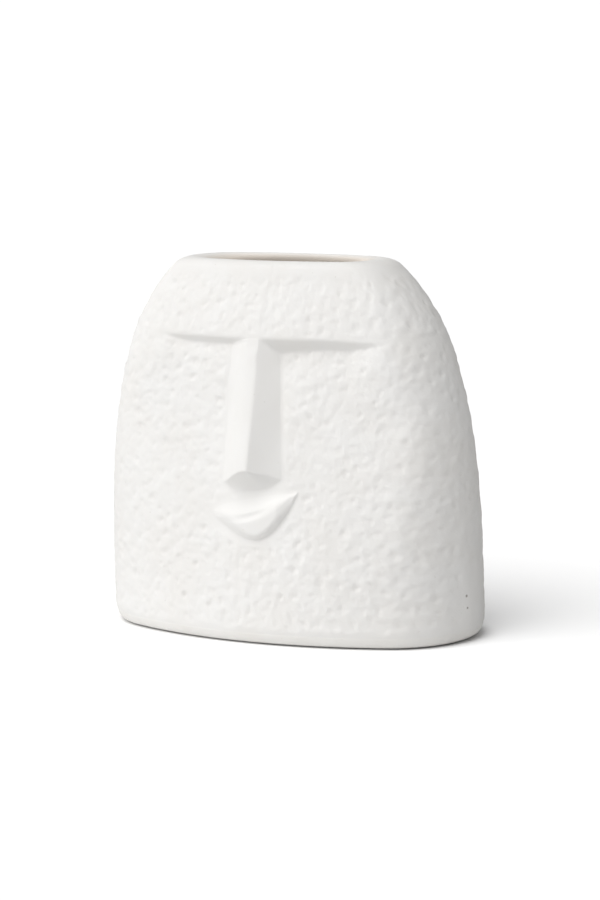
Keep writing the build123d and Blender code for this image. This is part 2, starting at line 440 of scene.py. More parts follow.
def loop_at(z, columns, inset=0.0, shrink=0.0, shift=None, raised=False):
    """One loop of points at height z, with the face let in when a shift is given."""
    side_x, side_y, on_end, share = columns
    a, b, r, big = (float(v) for v in oval(z, inset))
    turn = atan2(big - b, a - r)
    angle = np.where(on_end, turn * share, turn + (pi / 2 - turn) * share)
    x = np.where(on_end, a - r + (r - shrink) * np.cos(angle), (big - shrink) * np.cos(angle))
    y = np.where(on_end, (r - shrink) * np.sin(angle), b - big + (big - shrink) * np.sin(angle))
    x, y = x * side_x, y * side_y
    if shift is not None:
        front = face(x, z, y, shift)
        if raised:
            front = front - begin(nose_over_face(x, z)) - begin(mouth_over_face(x, z))
        y = np.where(side_y < 0, front, y)
    return np.stack([x, y, np.full_like(x, z)], axis=1)


# %% Foot rounding and ground
SLAB, FOOT_ROUND, FOOT_POWER = 5.0, 9.0, 2.6  # the line above the foot; the foot's squarish rounding
SEAM_HALF, SEAM_TOP = (3.0, 12.0), (18.0, 40.0)  # from the seams sideways, and upwards
REST, REST_Z = 0.75, (152.5, 145.0)  # how deep the ground lies, about the mean depth of pits and waves
SHOULDER_X, SHOULDER_Z = (0.75, 0.92), (100.0, 125.0)  # in shares of the half width, and in height


def foot_shrink(z):
    """How much smaller the foot's oval is drawn at a height."""
    share = max(1 - z / FOOT_ROUND, 0)
    return FOOT_ROUND * (1 - (1 - share**FOOT_POWER) ** (1 / FOOT_POWER))


def off_seams(z, y):
    """0 along the seams low on the two ends, where the vase has its full width, and 1 elsewhere."""
    return np.maximum(step(*SEAM_HALF, np.abs(y)), step(*SEAM_TOP, z))


def sink(loop, z):
    """How far the ground lies inside the full size at each point of a loop."""
    x, y = loop[:, 0], loop[:, 1]
    on_shoulders = step(*SHOULDER_X, np.abs(x) / half_width(z)) * step(*SHOULDER_Z, z)
    return REST * step(*REST_Z, z) * off_seams(z, y) * (1 - on_shoulders)


print("the foot's oval is drawn in by", round(foot_shrink(0.0), 1), "mm on the table")

# %% [markdown]
# ## The wall
#
# One closed skin runs from the line above the foot, up the outside, over the rounded rim and down
# the inside. A slip-cast wall could be a loft with a thickness modifier, but the pits only belong on
# the outside and the face must keep its thickness, so the inside is laid by the same rule instead.
# The rim is two cubic curves that leave the wall along its own slope, so no ridge shows below it.
# Towards the rim the wall grows thicker at the two ends, which makes the opening narrower there.

# %% Outside of the wall
WALL_ROWS = 204
RIM_OUT, RIM_IN = 2.6, 6.0  # height of the rim's rounding outside and inside
JOINT_ROUND, LINE_DEPTH = 0.3, 0.03  # the small rounding that makes the line above the foot
CLEAR = 0.01  # keeps the skin just inside the solid's size
outside = []
for z in np.linspace(SLAB, HEIGHT - RIM_OUT, WALL_ROWS):
    dip = CLEAR + LINE_DEPTH * (1 - step(0, JOINT_ROUND, z - SLAB))
    sunk = sink(loop_at(z, fine), z)
    outside.append(loop_at(z, fine, shrink=foot_shrink(z) + dip + sunk, shift=sunk, raised=True))
print(len(outside), "loops outside")

# %% Inside of the wall
WALL = 6.5
FULLER_LEFT, FULLER_RIGHT = 0.27, 0.25  # share by which the opening is narrower at its ends
FULLER_FROM = 125.0  # height from which it grows narrower


def inner_loop(z, columns, inset):
    """A loop inside the vase; towards the rim the wall is fuller at both ends."""
    loop = loop_at(z, columns, inset=inset, shift=inset)
    fuller = np.where(loop[:, 0] < 0, FULLER_LEFT, FULLER_RIGHT)
    loop[:, 0] *= 1 - fuller * (max(z - FULLER_FROM, 0) / (HEIGHT - RIM_IN - FULLER_FROM)) ** 2
    return loop


inside_z = [HEIGHT - RIM_IN, 146, 142, 136, 127, BROW_Z, 122, 117, 90, 55, 25, SLAB]
inside = [inner_loop(z, fine, WALL) for z in inside_z]
opening = np.ptp(inside[0], axis=0)
print("opening", round(float(opening[0])), "by", round(float(opening[1])), "mm below the rim")

# %% Rim
RIM_ROWS = 8  # loops on each half of the rim
END_UPRIGHT, END_OUT = 0.8, 0.2  # at the ends the inside rises straighter, the crest lies further out
PULL_WALL, PULL_OUT, PULL_IN = 0.6, 0.6, 0.7  # how strongly the curves follow the wall and the crest


def slope(loop_of, z):
    """How a loop of the wall moves for each millimetre of height."""
    return loop_of(z + 0.5) - loop_of(z - 0.5)


def rim_curve(count):
    """Loops over the rim, from the outside wall to the inside wall."""
    start, end = outside[-1], inside[0]
    rise_out = slope(lambda z: loop_at(z, fine, shift=0.0), HEIGHT - RIM_OUT) * RIM_OUT
    rise_in = slope(lambda z: inner_loop(z, fine, WALL), HEIGHT - RIM_IN) * RIM_IN
    at_ends = (end[:, :1] / np.abs(end[:, 0]).max()) ** 2
    rise_in[:, :1] *= 1 - END_UPRIGHT * at_ends
    outer = 0.5 + END_OUT * at_ends
    crest = (start + rise_out) * outer + (end + rise_in) * (1 - outer)
    to_outside, to_inside = start + rise_out - crest, end + rise_in - crest
    halves = (
        (start, start + rise_out * PULL_WALL, crest + to_outside * PULL_OUT, crest),
        (crest, crest + to_inside * PULL_IN, end + rise_in * PULL_WALL, end),
    )
    loops = []
    for p0, p1, p2, p3 in halves:
        for t in np.linspace(0, 1, count, endpoint=False):
            s = 1 - t
            loops.append(s**3 * p0 + 3 * s * s * t * p1 + 3 * s * t * t * p2 + t**3 * p3)
    return loops[1:]  # the first one is the outside wall's last


loops = outside + rim_curve(RIM_ROWS) + inside
wall = stack("pitted_wall", loops, ring=True, sharp=WALL_SHARP)

# %% [markdown]
# ## Where the wall is smooth
#
# A sponge has wiped the clay around the rim, the foot, the two mould seams at the ends, the brow's
# ledge and the joints of the nose and lips, so the pits fade out there. The fading is kept as one
# number for each point of the wall, called pitting, which the pit maker reads. A second number,
# called within, grows from the rim's crest inwards, where the finish is warmer.

# %% Pitting
PITS_TOP, PITS_LOW = (152.5, 146.0), (5.5, 8.0)  # heights over which the pits deepen
END_CALM, END_X = 0.1, (62.0, 80.0)  # how much shallower they are on the two ends, and where
HALO = (0.3, 3.0)  # from the edges of the nose and the lips outwards
RELIEF_CLEAR = (0.1, 0.0)  # by the height of the nose and the lips over the wall
LEDGE_CLEAR = (-0.3, 1.2)  # by the distance from the ledge
points = np.array([v.co for v in wall.data.vertices]) / MM
x, y, z = points.T
u, v = in_mouth(x, z)
beside_nose = np.abs(x - nose_middle(z)) - nose_half(z)
beyond_nose = np.hypot(np.maximum(beside_nose, 0), np.maximum(NOSE_BASE_Z - z, 0))
beyond_mouth = np.maximum(-inside_border(u, v), v)
face_mask = step(*HALO, beyond_nose) * step(*HALO, beyond_mouth)
face_mask *= step(*RELIEF_CLEAR, nose_over_face(x, z) + mouth_over_face(x, z))
face_mask *= step(*LEDGE_CLEAR, ledge(x, z) - cheek(x, z))
pitting = np.zeros(len(points))
pitting[: len(outside) * len(fine[0])] = 1
on_ends = 1 - END_CALM * step(*END_X, np.abs(x))
pitting *= step(*PITS_TOP, z) * step(*PITS_LOW, z) * off_seams(z, y) * on_ends
pitting *= np.where((y < 0) & (z < BROW_Z + 1), face_mask, 1)
wall.data.attributes.new("pitting", "FLOAT", "POINT").data.foreach_set("value", pitting)
print(round(100 * float(pitting.mean())), "% of the wall's points are pitted")

# %% Within the rim
WITHIN_ROWS = 5  # loops over which the warmer tone begins, from the rim's crest
row = np.arange(len(points)) // len(fine[0])
within = step(0, WITHIN_ROWS, row - (len(outside) + RIM_ROWS - 1)).astype(float)
wall.data.attributes.new("within", "FLOAT", "POINT").data.foreach_set("value", within)
print(int((within > 0).sum()), "points lie within the rim")

# %% [markdown]
# ## The clay's finish
#
# Bisque is fired clay without glaze: matt, slightly uneven in tone, with a fine grain. The
# unevenness belongs to every bare piece of the vase, so it is one shader group with its own sizes,
# and each finish chooses how strongly it uses the tone, the specks and the grain.

# %% Node helpers
def put(tree, socket, value):
    """Gives an input a plain value or the output of another node."""
    if isinstance(value, bpy.types.NodeSocket):
        tree.links.new(value, socket)
    else:
        socket.default_value = value


def add(tree, kind, **settings):
    """Adds a node; each setting is one of its properties or else one of its inputs."""
    node = tree.nodes.new(kind)
    for key, value in settings.items():
        if hasattr(node, key):
            setattr(node, key, value)
        else:
            put(tree, node.inputs[key.replace("_", " ")], value)
    return node


def ramp(tree, value, low, high, to_low=0.0, to_high=1.0):
    """A smooth ramp node between two values."""
    node = add(
        tree, "ShaderNodeMapRange", interpolation_type="SMOOTHSTEP", Value=value,
        From_Min=low, From_Max=high, To_Min=to_low, To_Max=to_high,
    )
    return node.outputs["Result"]


def sums(tree, operation, *values):
    """A Math node on outputs and plain numbers."""
    node = add(tree, "ShaderNodeMath", operation=operation)
    for socket, value in zip(node.inputs, values):
        put(tree, socket, value)
    return node.outputs[0]


def vectors(tree, operation, first, second):
    """A Vector Math node on outputs and plain vectors."""
    node = add(tree, "ShaderNodeVectorMath", operation=operation)
    put(tree, node.inputs[0], first)
    put(tree, node.inputs["Scale" if operation == "SCALE" else 1], second)
    return node.outputs["Value" if operation == "DISTANCE" else "Vector"]


# %% Shader group: clay
CLAY = {"Blotch": (45.0, 3.0), "Speck": (700.0, 1.0), "Grain": (2300.0, 4.0)}  # scale and detail
BLOTCH_RANGE, SPECK_RANGE = (0.3, 0.7), (0.77, 0.84)  # which part of the noise is used
clay = bpy.data.node_groups.new("clay tone and grain", "ShaderNodeTree")
for label, (scale, _) in CLAY.items():
    socket = clay.interface.new_socket(label + " Scale", in_out="INPUT", socket_type="NodeSocketFloat")
    socket.default_value = scale
    clay.interface.new_socket(label, in_out="OUTPUT", socket_type="NodeSocketFloat")
given = add(clay, "NodeGroupInput").outputs
place = add(clay, "ShaderNodeTexCoord").outputs["Object"]
noises = {}
for label, (_, detail) in CLAY.items():
    noise = add(clay, "ShaderNodeTexNoise", Vector=place, Detail=detail, Roughness=0.6)
    put(clay, noise.inputs["Scale"], given[label + " Scale"])
    noises[label] = noise.outputs["Fac"]
blotch = ramp(clay, noises["Blotch"], *BLOTCH_RANGE)
speck = ramp(clay, noises["Speck"], *SPECK_RANGE)
add(clay, "NodeGroupOutput", Blotch=blotch, Speck=speck, Grain=noises["Grain"])
print(clay.name, [s.name for s in clay.interface.items_tree])

# %% [markdown]
# ## Three bare finishes and a glaze
#
# The pitted wall, the sponged relief and the wiped foot are the same clay in slightly different
# tones. Each mixes two whites by the blotches, darkens the few specks, and raises the grain with a
# Bump node. The wall also darkens its pits a little as painted shade in the hollows, and grows
# warmer and darker from the rim's crest inwards. Low on its right end it has two pin-holes, which
# bubbles left in the firing; they are painted as dark spots of shade, since the mesh has no holes.

# %% What every finish shares
def mix(tree, factor, first, second):
    """Mixes two colours; each is a colour value or a socket."""
    node = add(tree, "ShaderNodeMix", data_type="RGBA")
    for number, value in ((0, factor), (6, first), (7, second)):
        put(tree, node.inputs[number], (*value, 1) if isinstance(value, tuple) else value)
    return node.outputs[2]


def begin_finish(name):
    """A new material: itself, its tree, its shader and the clay group in it."""
    material = bpy.data.materials.new(name)
    material.use_nodes = True
    tree = material.node_tree
    return material, tree, tree.nodes["Principled BSDF"], add(tree, "ShaderNodeGroup", node_tree=clay)


def end_finish(tree, shader, tone, colour, roughness, grain, height):
    """Joins a finish's colour, roughness and grain to its shader."""
    bump = add(tree, "ShaderNodeBump", Strength=grain, Distance=height, Height=tone.outputs["Grain"])
    put(tree, shader.inputs["Base Color"], colour)
    put(tree, shader.inputs["Roughness"], ramp(tree, tone.outputs["Blotch"], 0, 1, *roughness))
    put(tree, shader.inputs["Normal"], bump.outputs["Normal"])


# %% Bare clay
# The second tone is painted shade for the bottoms of the pits.
SPECK_TONE, PIT_SHADE_TONE = (0.50, 0.45, 0.39), (0.66, 0.63, 0.58)
# The first tone is the darker, warmer one inside the rim; the second is painted shade for the
# pin-holes.
INSIDE_RIM_TONE, HOLE_SHADE_TONE = (0.83, 0.75, 0.665), (0.24, 0.20, 0.17)
PIT_FROM = 0.15  # how deep a pit is, as a share, before the painted shade in it begins
HOLE_CORE, HOLE_DARK = 0.4, 0.75  # a pin-hole's dark core of painted shade, in radii, and how dark it is
BARE_ROUGHNESS, BARE_GRAIN = (0.84, 0.94), 0.12 * MM


# pits is how strongly the bottoms of the pits are darkened, as painted shade.
def bisque(name, light, dark, grain, speck_share, pits=0.0, pin_holes=()):
    """Matt bare clay between two tones."""
    material, tree, shader, tone = begin_finish(name)
    shader.inputs["Specular IOR Level"].default_value = 0.25
    colour = mix(tree, tone.outputs["Blotch"], light, dark)
    speck = sums(tree, "MULTIPLY", tone.outputs["Speck"], speck_share)
    colour = mix(tree, speck, colour, SPECK_TONE)
    if pits:
        # Painted shade: the pits darken a little towards their bottoms.
        pit = add(tree, "ShaderNodeAttribute", attribute_name="pit")
        pit_shade = ramp(tree, pit.outputs["Fac"], PIT_FROM, 1.0, 0.0, pits)
        colour = mix(tree, pit_shade, colour, PIT_SHADE_TONE)
        # A darker, warmer tone from the rim's crest inwards.
        within = add(tree, "ShaderNodeAttribute", attribute_name="within")
        colour = mix(tree, within.outputs["Fac"], colour, INSIDE_RIM_TONE)
    place = add(tree, "ShaderNodeTexCoord").outputs["Object"]
    # Painted shade: each pin-hole is a dark spot, since the mesh gives it no depth.
    for hole, radius in pin_holes:
        away = vectors(tree, "DISTANCE", place, Vector(hole) * MM)
        hole_shade = ramp(tree, away, HOLE_CORE * radius * MM, radius * MM, HOLE_DARK, 0.0)
        colour = mix(tree, hole_shade, colour, HOLE_SHADE_TONE)
    end_finish(tree, shader, tone, colour, BARE_ROUGHNESS, grain, BARE_GRAIN)
    return material


# %% The three bare finishes
# Two pin-holes, drawn only as dark spots of painted shade.
PIN_HOLES = (((84.39, -6.50, 19.78), 0.85), ((84.48, -6.04, 14.74), 0.7))  # places and radii
pitted_clay = bisque(
    "pitted bisque", (0.885, 0.876, 0.858), (0.868, 0.853, 0.828),
    grain=0.45, speck_share=0.25, pits=0.08, pin_holes=PIN_HOLES,
)
smooth_clay = bisque(
    "sponged bisque", (0.89, 0.881, 0.863), (0.876, 0.863, 0.84), grain=0.3, speck_share=0.25
)
foot_clay = bisque(
    "wiped foot bisque", (0.885, 0.874, 0.848), (0.865, 0.848, 0.815), grain=0.3, speck_share=0.3
)
print([m.name for m in (pitted_clay, smooth_clay, foot_clay)])

# %% Glaze material
GLAZE_ROUGHNESS, GLAZE_COAT, GLAZE_GRAIN = (0.38, 0.52), (0.35, 0.15), 0.1 * MM
glaze, tree, shader, tone = begin_finish("inside glaze")
shader.inputs["Coat Roughness"].default_value = 0.22
tone.inputs["Blotch Scale"].default_value = 30.0
colour = mix(tree, tone.outputs["Blotch"], (0.80, 0.76, 0.70), (0.74, 0.67, 0.58))
end_finish(tree, shader, tone, colour, GLAZE_ROUGHNESS, 0.15, GLAZE_GRAIN)
put(tree, shader.inputs["Coat Weight"], ramp(tree, tone.outputs["Blotch"], 0, 1, *GLAZE_COAT))
print(glaze.name, len(tree.nodes), "nodes")

# %% [markdown]
# ## The pits
#
# The pits follow the wall's surface, which is what Geometry Nodes are good at. The tree scatters pit
# centres over the wall, never closer than a given spacing, and finds for every point of the wall the
# nearest centre. Each centre has its own radius and depth, and a little noise bends the distance so
# that no pit is a perfect circle. A second, finer set lies between the large pits, and low waves
# make the ground between them uneven. Because the ground was laid inside the full size, the waves
# can rise from it and the pits sink into it while the vase keeps its measured size.

# %% Geometry Nodes: inputs
PIT_SEED = 4
pit_sizes = {
    "Pit Spacing": 5.2 * MM, "Pit Radius": 3.1 * MM, "Pit Depth": 0.48 * MM,
    "Fine Spacing": 3.2 * MM, "Fine Radius": 1.8 * MM, "Fine Depth": 0.27 * MM,
    "Wave Size": 5.4 * MM, "Wave Depth": 1.25 * MM, "Bend": 3.6 * MM,
    "Rest Depth": REST * MM,
}
pit_maker = bpy.data.node_groups.new("pit maker", "GeometryNodeTree")
pit_maker.interface.new_socket("Wall", in_out="INPUT", socket_type="NodeSocketGeometry")
for label in pit_sizes:
    pit_maker.interface.new_socket(label, in_out="INPUT", socket_type="NodeSocketFloat")
pit_maker.interface.new_socket("Seed", in_out="INPUT", socket_type="NodeSocketInt")
pit_maker.interface.new_socket("Finish", in_out="INPUT", socket_type="NodeSocketMaterial")
pit_maker.interface.new_socket("Wall", in_out="OUTPUT", socket_type="NodeSocketGeometry")
sockets = add(pit_maker, "NodeGroupInput").outputs
print(pit_maker.name, "takes", [s.name for s in sockets if s.name])

# %% Geometry Nodes: pits
LARGE_SEED, FINE_SEED = 10, 20  # added to the seed, so that the two sets differ
SMALLEST, SHALLOWEST = 0.45, 0.25  # the least pit, in shares of the given radius and depth
PIT_FLAT = 0.15  # radius of a pit's flat bottom, as a share
position = add(pit_maker, "GeometryNodeInputPosition").outputs[0]
mask = add(pit_maker, "GeometryNodeInputNamedAttribute", data_type="FLOAT", Name="pitting")
mask = mask.outputs["Attribute"]
bend = add(pit_maker, "ShaderNodeTexNoise", Vector=position, Scale=380.0, Detail=2.0)
bend = vectors(pit_maker, "SUBTRACT", bend.outputs["Color"], (0.5, 0.5, 0.5))
bent = vectors(pit_maker, "ADD", position, vectors(pit_maker, "SCALE", bend, sockets["Bend"]))


def chance(identity, low, seed):
    """A number of its own for each pit, from a least value up to 1."""
    node = add(pit_maker, "FunctionNodeRandomValue", data_type="FLOAT", ID=identity, Seed=seed)
    numbers = [socket for socket in node.inputs if socket.enabled]
    for socket, value in zip(numbers, (low, 1.0)):
        socket.default_value = value
    return node.outputs[1]


def pits(spacing, radius, seed):
    """A set of scattered pits: 0 on the ground between them, up to 1 at their bottoms."""
    scatter = add(
        pit_maker, "GeometryNodeDistributePointsOnFaces", distribute_method="POISSON",
        Mesh=sockets["Wall"], Distance_Min=spacing, Density_Max=4e5, Density_Factor=mask,
        Seed=sums(pit_maker, "ADD", sockets["Seed"], float(seed)),
    )
    centres = scatter.outputs["Points"]
    nearest = add(pit_maker, "GeometryNodeSampleNearest", domain="POINT", Geometry=centres)
    put(pit_maker, nearest.inputs["Sample Position"], bent)
    nearest = nearest.outputs["Index"]
    centre = add(
        pit_maker, "GeometryNodeSampleIndex", data_type="FLOAT_VECTOR", domain="POINT",
        Geometry=centres, Value=position, Index=nearest,
    )
    reach = sums(pit_maker, "MULTIPLY", radius, chance(nearest, SMALLEST, seed + 1))
    away = vectors(pit_maker, "DISTANCE", bent, centre.outputs["Value"])
    bowl = ramp(pit_maker, sums(pit_maker, "DIVIDE", away, reach), PIT_FLAT, 1.0, 1.0, 0.0)
    return sums(pit_maker, "MULTIPLY", bowl, chance(nearest, SHALLOWEST, seed + 2))


large = pits(sockets["Pit Spacing"], sockets["Pit Radius"], LARGE_SEED)
small = pits(sockets["Fine Spacing"], sockets["Fine Radius"], FINE_SEED)
wave = add(pit_maker, "ShaderNodeTexNoise", Vector=position, Detail=2.0)
put(pit_maker, wave.inputs["Scale"], sums(pit_maker, "DIVIDE", 1.0, sockets["Wave Size"]))
print(len(pit_maker.nodes), "nodes make the pits and the waves")

# %% Geometry Nodes: press the pits in
depth = sums(pit_maker, "MULTIPLY", large, sockets["Pit Depth"])
for share, size in ((small, "Fine Depth"), (wave.outputs["Fac"], "Wave Depth")):
    depth = sums(pit_maker, "ADD", depth, sums(pit_maker, "MULTIPLY", share, sockets[size]))
lift = sums(pit_maker, "MULTIPLY", sums(pit_maker, "SUBTRACT", sockets["Rest Depth"], depth), mask)
outwards = add(pit_maker, "GeometryNodeInputNormal").outputs[0]
press = add(pit_maker, "GeometryNodeSetPosition", Geometry=sockets["Wall"])
put(pit_maker, press.inputs["Offset"], vectors(pit_maker, "SCALE", outwards, lift))
# The pit attribute tells the wall's finish where to paint shade in the pits.
keep = add(
    pit_maker, "GeometryNodeStoreNamedAttribute", data_type="FLOAT", domain="POINT",
    Geometry=press.outputs[0], Name="pit", Value=sums(pit_maker, "MULTIPLY", large, mask),
)
real = add(pit_maker, "GeometryNodeRealizeInstances", Geometry=keep.outputs[0])
finish = add(pit_maker, "GeometryNodeSetMaterial", Geometry=real.outputs[0], Material=sockets["Finish"])
add(pit_maker, "NodeGroupOutput", Wall=finish.outputs[0])
print(len(pit_maker.nodes), "nodes in the whole tree")

# %% Pit the wall
modifier = wall.modifiers.new("pits", "NODES")
modifier.node_group = pit_maker
settings = {**pit_sizes, "Seed": PIT_SEED, "Finish": pitted_clay}
for item in pit_maker.interface.items_tree:
    if item.in_out == "INPUT" and item.name in settings:
        modifier[item.identifier] = settings[item.name]
smooth_mesh = wall.data
evaluated = wall.evaluated_get(bpy.context.evaluated_depsgraph_get())
wall.data = bpy.data.meshes.new_from_object(evaluated)
wall.modifiers.remove(modifier)
wall.data.name = "pitted_wall"
before = np.array([v.co for v in smooth_mesh.vertices])
moved_by = np.linalg.norm(np.array([v.co for v in wall.data.vertices]) - before, axis=1)
print("the wall moved by up to", round(float(moved_by.max()) / MM, 2), "mm")

# %% [markdown]
# ## Foot
#
# The foot is the floor of the vase: a rounded lower edge, a flat ring that the vase stands on and a
# shallow hollow inside it, so that the vase doesn't rock. It is turned from offsets of the foot's
# oval, because a rounded edge is the same oval drawn smaller and smaller.

# %% Foot loops
FOOT_RING, FOOT_HOLLOW = 7.0, 1.0  # width of the standing ring, depth of the hollow inside it
EASED, EASED_MIDDLE = 0.5, 0.15  # the hollow's two edges are eased by this much, at end and middle
HOLLOW_SIDE = (0.4, 0.1)  # heights of the lower easing's upper end and middle
RING_FLAT = 2.0  # from the foot's rounding to the ring's first loop
ROUND_ROWS, ROUND_END = 16, 0.5  # loops on the rounding, and how far below the line they end
LINE_EASED, LINE_IN = 0.1, 0.05  # the edge at the line above the foot: eased in height, drawn inwards
CAP = (0.0, 0.35, 0.7)  # sizes of the loops that close a stack, from its middle outwards


def close_stack(loops):
    """Adds loops at both ends that shrink onto the middle."""
    first, last = loops[0], loops[-1]
    return [first * (s, s, 1) for s in CAP] + loops + [last * (s, s, 1) for s in CAP[::-1]]


ring_in = FOOT_ROUND + FOOT_RING
profile = [(ring_in + EASED, FOOT_HOLLOW), (ring_in + EASED_MIDDLE, FOOT_HOLLOW - EASED_MIDDLE)]
profile += [(ring_in, HOLLOW_SIDE[0]), (ring_in - EASED_MIDDLE, HOLLOW_SIDE[1])]
profile += [(ring_in - EASED, 0.0), (FOOT_ROUND + RING_FLAT, 0.0)]
for angle in np.linspace(0, np.arccos((FOOT_ROUND - SLAB + ROUND_END) / FOOT_ROUND), ROUND_ROWS):
    height = FOOT_ROUND * (1 - cos(angle))
    profile.append((foot_shrink(height), height))
profile.append((foot_shrink(SLAB - LINE_EASED) + CLEAR, SLAB - LINE_EASED))
profile.append((foot_shrink(SLAB) + LINE_IN, SLAB))
sunk = sink(loop_at(0.0, plain), SLAB)
loops = []
for shrink, height in profile:
    loop = loop_at(0.0, plain, shrink=shrink + sunk * step(0, SLAB, height))
    loop[:, 2] = height
    loops.append(loop)
foot = stack("foot", close_stack(loops))
foot.data.materials.append(foot_clay)

# %% [markdown]
# ## Glaze inside
#
# Bare bisque lets water through, so the inside wears a thin glaze that stops a little below the rim.
# It is a skin of its own, half a millimetre thick, with a rounded corner at the floor where the
# glaze has pooled.

# %% Glaze loops
GLAZE = 0.5
GLAZE_EDGE, GLAZE_SEAT = 0.1, 0.02  # its edge is eased by this much; it stands this far off the wall
POOL, POOL_ROWS, POOL_FROM = 6.0, 8, 0.15  # the rounded corner: radius, loops, first angle
heights = inside_z[::-1]
against_wall = [inner_loop(z, plain, WALL + GLAZE_SEAT) for z in heights]
open_side = []
for z in [heights[-1] - GLAZE_EDGE] + heights[-2:0:-1]:
    open_side.append(inner_loop(z, plain, WALL + GLAZE))
for angle in np.linspace(POOL_FROM, pi / 2, POOL_ROWS):
    height = SLAB + GLAZE + POOL * (1 - sin(angle))
    inset = WALL + GLAZE + POOL * (1 - cos(angle))
    open_side.append(loop_at(height, plain, inset=inset, shift=WALL + GLAZE))
inner_glaze = stack("inside_glaze", close_stack(against_wall + open_side))
inner_glaze.data.materials.append(glaze)

# %% [markdown]
# ## Nose and lips
#
# The three pieces of relief are sheets laid over the face by the rules above, each with a back that
# reaches into the wall. Where a piece has sunk to a quarter of a millimetre the wall has risen to
# meet it, and from there its edge dips under the wall, so that only the joint's own rounding is seen.

# %% Relief
EDGE_DIP, EDGE_RISE = 1.6, (0.25, -0.1)  # how deep the thin edges dip, and from which height
BACK = 0.8  # how far the back reaches into the wall


def lay(name, x, z, rise):
    """A piece of relief over the face, whose thin edges dip under the wall's pits."""
    wall_y = face_front(x, z) + REST
    front_y = wall_y - rise + EDGE_DIP * step(*EDGE_RISE, rise)
    back_y = np.maximum(front_y, wall_y) + BACK
    piece = sheet(name, np.stack([x, front_y, z], axis=2), np.stack([x, back_y, z], axis=2))
    piece.data.materials.append(smooth_clay)
    return piece


# %% Nose
NOSE_ROWS, NOSE_COLUMNS = 170, 110
NOSE_OVER, NOSE_UNDER, NOSE_BESIDE = 3, 1, 2.5  # how far the sheet reaches beyond the wedge
rows = np.linspace(BROW_Z + NOSE_OVER, NOSE_BASE_Z - NOSE_UNDER, NOSE_ROWS)[:, None]
across = np.linspace(-1, 1, NOSE_COLUMNS)[None, :]
x = nose_middle(rows) + across * (nose_half(rows) + NOSE_BESIDE)
z = np.broadcast_to(rows, x.shape)
nose = lay("nose", x, z, nose_over_face(x, z))

# %% Lips
LIP_COLUMNS, UPPER_ROWS, LOWER_ROWS = 130, 46, 60
LIP_OVER, LIP_UNDER, LIP_LEAST = 2.6, 0.3, 0.2  # reach above and below the half moon, least height


def lip(name, top_v, low_v, rows):
    """A piece of the mouth between two curves across it."""
    u = np.linspace(MOUTH_LEFT, MOUTH_RIGHT, LIP_COLUMNS)
    t = np.linspace(0, 1, rows)[:, None]
    v = top_v(u) * (1 - t) + low_v(u) * t
    u = np.broadcast_to(u, v.shape)
    x = MOUTH_X + u * cos(MOUTH_TILT) - v * sin(MOUTH_TILT)
    z = MOUTH_Z + u * sin(MOUTH_TILT) + v * cos(MOUTH_TILT)
    return lay(name, x, z, mouth_rise(u, v))


def above_mouth(u):
    return np.full_like(u, LIP_OVER)


def below_mouth(u):
    return np.minimum(border_v(u), line_v(u) - LIP_LEAST) - LIP_UNDER


upper_lip = lip("upper_lip", above_mouth, line_v, UPPER_ROWS)
lower_lip = lip("lower_lip", line_v, below_mouth, LOWER_ROWS)

# %% [markdown]
# ## Floor and light
#
# The picture is a plain white studio: a pale floor without an edge, one broad lamp high in front, a
# weaker one low on the left, and some light from all round. The lamps' size makes the shadows soft.
# The floor is lifted to white for the camera only, and the world is white only where it is seen
# directly or in a reflection, so the background is white without more light on the clay. The lift
# fades out around the foot, which paints a ring of contact shadow along the dark line the vase stands
# on.

# %% Floor
FLOOR_HALF, FLOOR_Z = 40.0, -5e-5  # metres: so wide that its edge is never seen, just under the foot
FLOOR_TONE, FLOOR_SEEN = 0.9, 1.0  # what the floor reflects, and what the camera sees of it
corners = [(x * FLOOR_HALF, y * FLOOR_HALF, FLOOR_Z) for x, y in ((-1, -1), (1, -1), (1, 1), (-1, 1))]
floor_mesh = bpy.data.meshes.new("floor")
floor_mesh.from_pydata(corners, [], [(0, 1, 2, 3)])
floor = bpy.data.objects.new("floor", floor_mesh)
bpy.context.scene.collection.objects.link(floor)
paper = bpy.data.materials.new("pale floor")
paper.use_nodes = True
tree = paper.node_tree
bounce = tree.nodes["Principled BSDF"]
seen = add(tree, "ShaderNodeBsdfPrincipled")
for shader, tone in ((bounce, FLOOR_TONE), (seen, FLOOR_SEEN)):
    shader.inputs["Base Color"].default_value = (tone, tone, tone, 1)
    shader.inputs["Roughness"].default_value = 1.0
    shader.inputs["Specular IOR Level"].default_value = 0.0
floor_mesh.materials.append(paper)
print(floor.name, 2 * FLOOR_HALF, "m wide")

# %% The floor's lift to white
FLOOR_LIFT = 0.22
FOOT_IN, FOOT_OVAL = 4.0, 2.3  # an oval this far inside the foot's edge, and its squareness
CONTACT_SHADE_EDGE = (0.95, 1.35)  # where the lift begins and is complete, with the painted contact shadow inside; the oval's rule gives 1 on its line


def choose_shader(tree, factor, first, second, output):
    """Mixes two shaders into a material's or a world's output."""
    choose = add(tree, "ShaderNodeMixShader")
    for socket, source in zip(choose.inputs, (factor, first.outputs[0], second.outputs[0])):
        put(tree, socket, source)
    put(tree, tree.nodes[output].inputs["Surface"], choose.outputs[0])


place = add(tree, "ShaderNodeSeparateXYZ", Vector=add(tree, "ShaderNodeTexCoord").outputs["Object"])
parts = []
for axis, size in (("X", WIDTH), ("Y", DEPTH)):
    away = sums(tree, "ABSOLUTE", place.outputs[axis])
    share = sums(tree, "DIVIDE", away, (size / 2 - FOOT_IN) * MM)
    parts.append(sums(tree, "POWER", share, FOOT_OVAL))
from_foot = sums(tree, "ADD", *parts)
